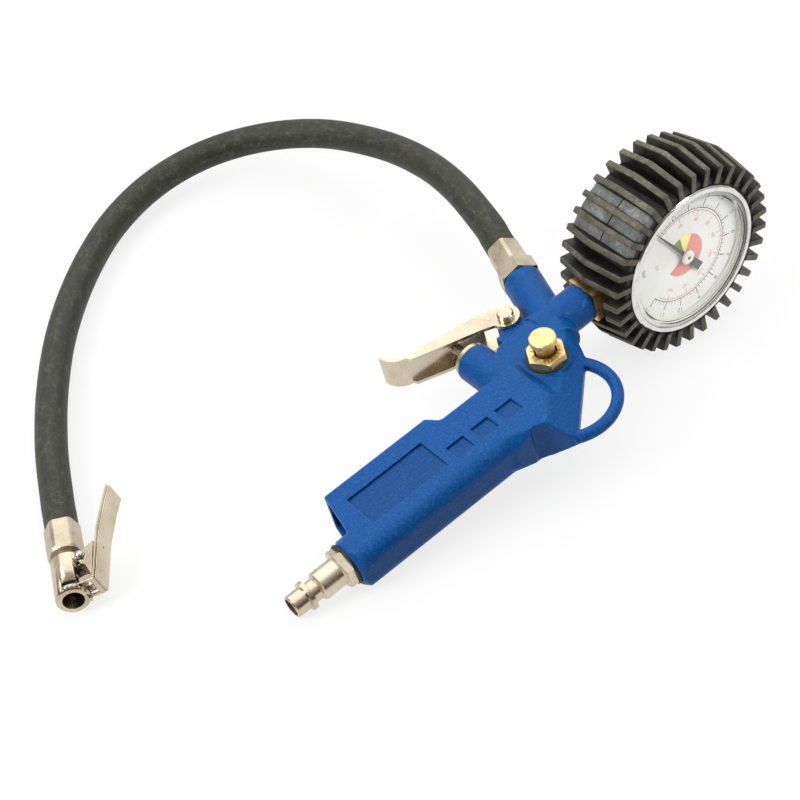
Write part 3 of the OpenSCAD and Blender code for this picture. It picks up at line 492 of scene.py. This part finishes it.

# ---- Bleed button --------------------------------------------------------------------------
# A turned brass cap on a thick stem that slides in a hexagonal nut. The faces of its bore are
# painted dark brown as painted shade, and a thin black ring between the nut and the body stands
# partly for a seal and partly for painted shade under the nut.


def turned(name, profile, steps, place=Matrix.Identity(4)):
    """A ring or disc: a closed outline of radius and height pairs in millimetres, spun about Z"""
    bpy.ops.mesh.primitive_circle_add(vertices=len(profile), fill_type="NOTHING")
    piece = bpy.context.object
    piece.name = name
    for corner, (radius, height) in zip(piece.data.vertices, profile):
        corner.co = (radius / 1000, 0, height / 1000)
    bpy.ops.object.mode_set(mode="EDIT")
    bpy.ops.mesh.select_all(action="SELECT")
    bpy.ops.mesh.spin(steps=steps, angle=math.tau, center=(0, 0, 0), axis=(0, 0, 1))
    bpy.ops.mesh.select_all(action="SELECT")
    bpy.ops.mesh.remove_doubles(threshold=0.000005)
    bpy.ops.mesh.delete_loose()
    bpy.ops.mesh.select_all(action="SELECT")
    bpy.ops.mesh.normals_make_consistent(inside=False)
    bpy.ops.object.mode_set(mode="OBJECT")
    piece.data.transform(place)
    return piece


bleed_place = laid(0.0089585, 0.0293625)
satin_brass = grained("satin_brass", (0.74, 0.52, 0.20), (0.88, 0.68, 0.32), (0.97, 0.83, 0.50),
                      (90, 1100), 0.15, 0.42, 0.54, 0.10, metallic=1.0)
bore_radius, bore_floor, nut_top = 4.4, 8.8, 12.1
bore = turned("bore", [(0, bore_floor), (bore_radius, bore_floor), (bore_radius, 13), (0, 13)],
              64, bleed_place)
bleed_hex = taken_over("bleed_nut", "bleed_hex")
cut_away(bleed_hex, bore)
bpy.ops.object.shade_smooth_by_angle(angle=math.radians(25))
# Painted shade: the faces inside the nut's bore take this dark brown finish.
painted_bore_shade = grained("painted_bore_shade", (0.020, 0.008, 0.003), (0.055, 0.022, 0.008),
                      (0.110, 0.050, 0.020), (300, 1100), 0.2, 0.35, 0.5, 0.2)
coat(bleed_hex, satin_brass, painted_bore_shade)
to_bleed = bleed_place.inverted()
for face in bleed_hex.data.polygons:
    middle = 1000 * (to_bleed @ face.center)
    face.material_index = (bore_floor - 0.05 < middle.z < nut_top + 0.05
                           and math.hypot(middle.x, middle.y) < bore_radius + 0.1)
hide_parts("bleed_nut")
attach(bleed_hex, "gun")

stem = turned("stem", [(2.0, 10.9), (3.5, 10.9), (3.7, 11.1), (3.7, 17.2), (4.2, 18.2),
                       (2.0, 18.2)], 64, bleed_place)
bleed_cap = join([taken_over("bleed_knob", "bleed_cap"), stem])
bpy.ops.object.shade_smooth_by_angle(angle=math.radians(30))
coat(bleed_cap, satin_brass)
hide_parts("bleed_knob")
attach(bleed_cap, "bleed")

# A thin black ring under the nut: partly a seal, partly painted shade where the nut's shadow
# falls.
bleed_ring = turned("bleed_ring", [(4.5, 8.35), (8.1, 8.35), (8.3, 8.6), (8.1, 8.95), (4.5, 8.95)],
                    64, bleed_place)
bpy.ops.object.shade_smooth_by_angle(angle=math.radians(40))
coat(bleed_ring, black_rubber)
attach(bleed_ring, "gun")

# ---- Gauge ---------------------------------------------------------------------------------
# Black case, white dial, and a black pointer with a white hub.
white_print = grained("white_dial", (0.80, 0.79, 0.74), (0.86, 0.855, 0.82), (0.89, 0.885, 0.85),
                      (60, 900), 0.3, 0.45, 0.6, 0.05)
dress(["dial_plate", "pointer_hub"], white_print)
black_paint = grained("black_paint", (0.020, 0.020, 0.013), (0.035, 0.036, 0.024),
                      (0.060, 0.062, 0.042), (200, 1400), 0.4, 0.35, 0.5, 0.2)
dress(["pointer", "gauge_case"], black_paint)

# ---- Boot ----------------------------------------------------------------------------------
# Thick black rubber boot with ribs like a tractor tyre's. It is moulded in one piece, stretched
# over the case, and holed at the side for the stem. The rib tops and ends are lighter than the
# rib sides and the wall between the ribs, partly as rubbed dust and partly as painted light on
# the tops and painted shade in the gaps.
gauge_place = Matrix(((math.cos(lay_tilt), math.sin(lay_tilt), 0, lay_x),
                      (0, 0, 1, lay_y),
                      (math.sin(lay_tilt), -math.cos(lay_tilt), 0, lay_z),
                      (0, 0, 0, 1)))


def soften(piece, edge, sharpest):
    """Bevel a piece along the edges that turn by more than an angle in degrees"""
    soft = piece.modifiers.new("soft", "BEVEL")
    soft.width = edge / 1000
    soft.segments = 2
    soft.limit_method = "ANGLE"
    soft.angle_limit = math.radians(sharpest)
    bpy.ops.object.modifier_apply(modifier="soft")


def block(name, low, high, ridge, edge):
    """A bar from low to high corner, its outer face raised by ridge along the middle"""
    middle = [(a + b) / 2000 for a, b in zip(low, high)]
    bpy.ops.mesh.primitive_cube_add(size=1, location=middle)
    bar = bpy.context.object
    bar.name = name
    bar.scale = [(b - a) / 1000 for a, b in zip(low, high)]
    bpy.ops.object.transform_apply(location=True, rotation=True, scale=True)
    bpy.ops.object.mode_set(mode="EDIT")
    bpy.ops.mesh.select_all(action="SELECT")
    bpy.ops.mesh.bisect(plane_co=middle, plane_no=(0, 0, 1))
    bpy.ops.mesh.select_all(action="DESELECT")
    bpy.ops.object.mode_set(mode="OBJECT")
    for corner in bar.data.vertices:
        if abs(corner.co.z - middle[2]) < 1e-5 and corner.co.x > middle[0]:
            corner.co.x += ridge / 1000
    soften(bar, edge, 40)
    return bar


rib_count = 34
first_rib = math.pi / 2 + lay_tilt
wall = turned("rubber_boot", [(32.25, 1.4), (34.4, 1.4), (34.7, 1.8), (34.7, 32.8), (34.0, 33.2),
                              (25.0, 33.2), (25.0, 31.1), (31.6, 31.1), (31.6, 5.2), (32.25, 5.2)],
              4 * rib_count)
pieces = [wall]
for i in range(rib_count):
    rib = block("rib", (32.6, -1.35, 0.15), (40.4, 1.35, 33.1), ridge=2.6, edge=0.45)
    rib.data.transform(Matrix.Rotation(first_rib + math.tau * i / rib_count, 4, "Z"))
    pieces.append(rib)
rubber_boot = join(pieces)
stem_hole = box((-60, -7.4, 7), (-26, 10, 27))
cut_away(rubber_boot, stem_hole, crossing=True)
rubber_boot.data.transform(gauge_place)
bpy.ops.object.shade_smooth_by_angle(angle=math.radians(35))

black_boot = grained("black_boot", (0.004, 0.004, 0.003), (0.010, 0.009, 0.006),
                     (0.034, 0.031, 0.020), (160, 1100), 0.35, 0.42, 0.62, 0.35)
dust_and_light_tops = grained("dust_and_light_rib_tops", (0.032, 0.028, 0.018), (0.088, 0.080, 0.052),
                     (0.240, 0.222, 0.155), (160, 1100), 0.35, 0.45, 0.62, 0.35)
coat(rubber_boot, black_boot, dust_and_light_tops)
# Painted light and shade: faces that point outwards or along the axis take the lighter dusty
# finish, and the rib sides and the wall between the ribs stay dark.
ribs_from = 0.0349
to_gauge = gauge_place.inverted()
for face in rubber_boot.data.polygons:
    middle = to_gauge @ face.center
    normal = to_gauge.to_3x3() @ face.normal
    radius = math.hypot(middle.x, middle.y)
    outward = (normal.x * middle.x + normal.y * middle.y) / radius
    face.material_index = radius > ribs_from and (outward > 0.3 or abs(normal.z) > 0.6)
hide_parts("gauge_boot")
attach(rubber_boot, "gun")

# Three gaps between the ribs are filled with smooth blank pads, each split across the middle
# by the mould. They are of the same rubber, painted light grey, partly as wear and partly as a
# painted sheen.
pads = []
for i in (11.5, 12.5, 13.5):
    for low, high in ((1.5, 16.4), (16.8, 31.9)):
        pad = block("pad", (33.6, -2.2, low), (38.4, 2.2, high), ridge=0.0, edge=0.3)
        pad.data.transform(Matrix.Rotation(first_rib + math.tau * i / rib_count, 4, "Z"))
        pads.append(pad)
boot_pads = join(pads)
boot_pads.name = "boot_pads"
boot_pads.data.transform(gauge_place)
# The pads' light grey is partly wear and partly a painted sheen.
coat(boot_pads, grained("worn_sheen_pads", (0.055, 0.058, 0.055), (0.17, 0.185, 0.175),
                        (0.42, 0.46, 0.44), (110, 1100), 0.3, 0.32, 0.5, 0.3))
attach(boot_pads, "gun")

# ---- Dial print ----------------------------------------------------------------------------
# Printed on the white dial: a black outer scale, a red inner scale, three coloured fields round
# the hub and the names of the two units. Each mark is a thin layer of ink just off the plate.
# The scales turn through full_turn degrees, from zero_turn clockwise of the dial's top.
zero_turn, full_turn, top_bar, top_psi, psi_per_bar = 240, 270, 12, 170, 14.5
degrees_per_bar = full_turn / top_bar
ink_height = 0.00557
dial_place = Matrix(((math.sin(lay_tilt), math.cos(lay_tilt), 0, lay_x),
                     (0, 0, -1, lay_y + ink_height),
                     (-math.cos(lay_tilt), math.sin(lay_tilt), 0, lay_z),
                     (0, 0, 0, 1)))


def ink(name, colour):
    """Printed colour, slightly uneven from one mark to the next"""
    thin, full = [0.8 * c + 0.04 for c in colour], [0.9 * c for c in colour]
    return grained(name, full, colour, thin, (400, 1300), 0.3, 0.40, 0.55, 0.05)


def turn_to(value):
    """Angle on the dial, clockwise from its top, in radians"""
    return math.radians(zero_turn + full_turn * value / top_bar)


def tick(value, inner, outer, thick):
    """A stroke across a scale, between two radii"""
    bpy.ops.mesh.primitive_plane_add(size=1, location=(0, 0, 0))
    mark = bpy.context.object
    mark.data.transform(Matrix.Translation((0, (inner + outer) / 2000, 0))
                        @ Matrix.Diagonal((thick / 1000, (outer - inner) / 1000, 1, 1)))
    mark.data.transform(Matrix.Rotation(-turn_to(value), 4, "Z"))
    return mark


def band(inner, outer, start, end):
    """A flat arc between two radii and two values"""
    steps = max(2, int(abs(end - start) * 4))
    bpy.ops.mesh.primitive_grid_add(x_subdivisions=steps, y_subdivisions=1, size=2)
    arc = bpy.context.object
    for v in arc.data.vertices:
        angle = turn_to(start + (end - start) * (v.co.x + 1) / 2)
        radius = (outer if v.co.y > 0 else inner) / 1000
        v.co = (radius * math.sin(angle), radius * math.cos(angle), 0)
    return arc


def lettering(words, size, radius, angle, upright=True):
    """Words centred at a radius and an angle, upright or with their foot towards the hub"""
    bpy.ops.object.text_add(location=(0, 0, 0))
    text = bpy.context.object
    text.data.body = words
    text.data.size = size / 1000
    text.data.align_x = "CENTER"
    text.data.align_y = "CENTER"
    bpy.ops.object.convert(target="MESH")
    text = bpy.context.object
    if not upright:
        text.data.transform(Matrix.Rotation(-angle, 4, "Z"))
    text.data.transform(Matrix.Translation((radius / 1000 * math.sin(angle),
                                            radius / 1000 * math.cos(angle), 0)))
    return text


def print_on_dial(name, marks, material):
    """Make one piece of all marks in one ink and lay it on the dial, facing outwards"""
    art = join(marks)
    art.name = name
    art.data.transform(dial_place)
    bpy.ops.object.mode_set(mode="EDIT")
    bpy.ops.mesh.select_all(action="SELECT")
    bpy.ops.mesh.normals_make_consistent(inside=False)
    bpy.ops.object.mode_set(mode="OBJECT")
    if sum(f.normal.y * f.area for f in art.data.polygons) > 0:
        art.data.flip_normals()
    coat(art, material)
    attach(art, "gun")


black_marks = [band(20.3, 20.65, 0, top_bar)]
for bar in range(top_bar + 1):
    black_marks.append(tick(bar, 20.3, 24.2, 0.42))
    black_marks.append(lettering(str(bar), 2.9, 26.3, turn_to(bar), False))
    if bar < top_bar:
        for part in range(1, 5):
            black_marks.append(tick(bar + part / 5, 20.3, 21.9, 0.2))
black_marks.append(lettering("bar", 3.0, 21.5, math.radians(195)))
red_marks = [band(19.3, 19.6, 0, top_psi / psi_per_bar)]
for psi in range(0, top_psi + 1, 5):
    long = psi % 20 == 0
    red_marks.append(tick(psi / psi_per_bar, 17.2 if long else 18.2, 19.5, 0.32 if long else 0.2))
for psi in range(0, top_psi + 1, 20):
    red_marks.append(lettering(str(psi), 2.4, 15.3, turn_to(psi / psi_per_bar), False))
red_marks.append(lettering("psi", 2.4, 14.5, math.radians(195)))
print_on_dial("black_scale", black_marks, ink("black_ink", (0.05, 0.05, 0.04)))
print_on_dial("red_scale", red_marks, ink("red_ink", (0.72, 0.22, 0.20)))
for field, start, end, ink_name, colour in (
        ("green_field", 0, 25, "green_ink", (0.155, 0.262, 0.045)),
        ("yellow_field", 25, 62, "yellow_ink", (0.92, 0.86, 0.30)),
        ("red_field", 62, 275, "light_red_ink", (0.79, 0.262, 0.223))):
    wedge = band(0.5, 9.4, start / degrees_per_bar, end / degrees_per_bar)
    print_on_dial(field, [wedge], ink(ink_name, colour))

# ---- Gauge window --------------------------------------------------------------------------
# A thick clear window: a shallow dome inside two stepped rings, held by the bezel's lip. Below it
# a pale ring with two ledges keeps the dial away from the window.
window, nodes, links = new_material("clear_window")
surface = nodes["Principled BSDF"]
surface.inputs["Base Color"].default_value = (0.98, 0.99, 0.99, 1)
surface.inputs["Roughness"].default_value = 0.03
surface.inputs["Transmission Weight"].default_value = 1.0
surface.inputs["IOR"].default_value = 1.45
seen = nodes.new("ShaderNodeLightPath")
open_way = nodes.new("ShaderNodeBsdfTransparent")
let_through = nodes.new("ShaderNodeMixShader")
links.new(seen.outputs["Is Shadow Ray"], let_through.inputs[0])
links.new(surface.outputs[0], let_through.inputs[1])
links.new(open_way.outputs[0], let_through.inputs[2])
links.new(let_through.outputs[0], nodes["Material Output"].inputs["Surface"])


def dome(reach, sphere):
    """Outline of a shallow dome from the axis outwards, part of a sphere centred on the axis"""
    centre, steps = 151.0, 8
    radii = [reach * i / steps for i in range(steps + 1)]
    return [(r, centre - math.sqrt(sphere ** 2 - r ** 2)) for r in radii]


steps_of_rim = [(28.2, 0.2), (29.6, 0.2), (29.8, 0.9), (31.3, 0.9), (31.3, 2.4), (27.6, 2.4)]
gauge_window = turned("gauge_window", dome(28.0, 153.0) + steps_of_rim + dome(27.0, 151.6)[::-1],
                      128, gauge_place)
bpy.ops.object.shade_smooth_by_angle(angle=math.radians(30))
coat(gauge_window, window)
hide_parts("gauge_lens")
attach(gauge_window, "gun")

spacer_ring = turned("spacer_ring", [(30.4, 2.5), (29.3, 2.5), (29.2, 3.4), (28.6, 3.5),
                                     (28.5, 4.4), (28.0, 4.5), (27.9, 5.5), (30.4, 5.5)],
                     128, gauge_place)
bpy.ops.object.shade_smooth_by_angle(angle=math.radians(30))
coat(spacer_ring, ink("ivory_plastic", (0.72, 0.71, 0.64)))
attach(spacer_ring, "gun")

# The pointer's hub ends in a small dark rivet.
hub_rivet = turned("hub_rivet", [(0, 2.62), (0.45, 2.66), (0.7, 2.85), (0.8, 3.1), (0, 3.1)],
                   32, gauge_place)
coat(hub_rivet, black_paint)
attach(hub_rivet, "needle")

# ---- Chuck ---------------------------------------------------------------------------------
# Turned body with two slots by its mouth for the jaw, their faces painted black as painted shade.
# The thumb lever is folded from sheet:
# a long plate with a bent tip, two cheeks on the pin and a jaw frame that grips the tyre valve.
chuck_place = (Matrix.Translation((-0.1836, 0.0281, 0.007))
               @ Matrix.Rotation(math.radians(-115.2), 4, "Z")
               @ Matrix.Rotation(math.radians(22), 4, "X"))
chuck_shell = taken_over("chuck_body", "chuck_shell")
slots = (((-4.1, -0.6, 4.2), (-2.3, 6, 9)), ((-11, 4.4, 1.2), (-2.2, 6.2, 9)))
for low, high in slots:
    cut_away(chuck_shell, box(low, high, chuck_place))
bpy.ops.object.shade_smooth_by_angle(angle=math.radians(30))
coat(chuck_shell, nickel, black_paint)
# Painted shade: the faces inside the slots take the black finish.
to_chuck = chuck_place.inverted()
for face in chuck_shell.data.polygons:
    middle = 1000 * (to_chuck @ face.center)
    face.material_index = any(all(a - 0.01 <= m <= b + 0.01 for a, m, b in zip(low, middle, high))
                              for low, high in slots)
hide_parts("chuck_body")
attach(chuck_shell, "gun")


def sheet(name, outline, low, high, edge):
    """A flat part of sheet metal: its outline in X and Y, from low to high along Z"""
    bpy.ops.mesh.primitive_circle_add(vertices=len(outline), fill_type="NGON")
    part = bpy.context.object
    part.name = name
    for corner, (x, y) in zip(part.data.vertices, outline):
        corner.co = (x / 1000, y / 1000, low / 1000)
    bpy.ops.object.mode_set(mode="EDIT")
    bpy.ops.mesh.select_all(action="SELECT")
    bpy.ops.mesh.extrude_region_move(TRANSFORM_OT_translate={"value": (0, 0, (high - low) / 1000)})
    bpy.ops.mesh.select_all(action="SELECT")
    bpy.ops.mesh.normals_make_consistent(inside=False)
    bpy.ops.object.mode_set(mode="OBJECT")
    soften(part, edge, 50)
    return part


def side_of_plate(thick):
    """Outline of the plate seen along the pin: straight, a bend, and a tip that curls outwards"""
    lean, bend, curl = math.radians(168.5), math.radians(-7), math.radians(-5)
    x, y, heading = -1.5, 10.9, lean
    inner = [(x, y)]
    for length, turn in ((21, bend / 2), (3, bend / 2), (11, curl / 2), (3, curl / 2), (6, 0)):
        x += length * math.cos(heading)
        y += length * math.sin(heading)
        inner.append((x, y))
        heading += turn
    across = (math.cos(lean - math.pi / 2), math.sin(lean - math.pi / 2))
    outer = [(a + thick * across[0], b + thick * across[1]) for a, b in inner]
    return inner, outer


inner, outer = side_of_plate(1.2)
plate = sheet("thumb_plate", inner + outer[::-1], -5.0, 4.0, 0.3)
inner, outer = side_of_plate(0.6)
flange = sheet("flange", inner + outer[::-1], 4.5, 5.0, 0.15)
cheeks = [sheet("cheek", [(-2.2, 10.9), (-19, 13.8), (-17.6, 10.4), (-16.6, 7.4), (-15.6, 5.8),
                          (-14.3, 5.4), (-13.0, 6.0), (-8.6, 9.2)],
                low, low + 1.2, 0.2) for low in (-5.0, 3.8)]
arms = [sheet("arm", [(-1.2, 11.1), (-4.4, 11.9), (-5.9, 8.2), (-5.9, 4.7), (-3.2, 4.4),
                      (-2.9, 8.4)],
              low, low + 1.0, 0.15) for low in (-3.2, 2.2)]
bars = [sheet("bar", [(-5.7, 4.8), (-3.4, 4.5), (-3.4, 6.0), (-5.7, 6.3)], -3.0, 3.0, 0.1),
        sheet("bar", [(-2.9, 8.6), (-1.5, 11.1), (-3.6, 11.5), (-4.4, 9.0)], -3.0, 3.0, 0.1)]
frame_strip = sheet("frame_strip", [(-2.6, 4.6), (-1.9, 4.6), (-0.9, 11.2), (-1.7, 11.4)],
                    -4.6, 4.6, 0.15)
cut_away(frame_strip, box((-4, 6.4, -3.4), (1, 9.4, 3.4)))
claws = [box((-1.5, 5.4, low), (1.3, 6.2, low + 1.8)) for low in (-3.2, 1.4)]
thumb_plate = join([plate, flange, frame_strip] + cheeks + arms + bars + claws)
thumb_plate.data.transform(chuck_place)
coat(thumb_plate, nickel)
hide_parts("thumb_lever")
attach(thumb_plate, "thumb")
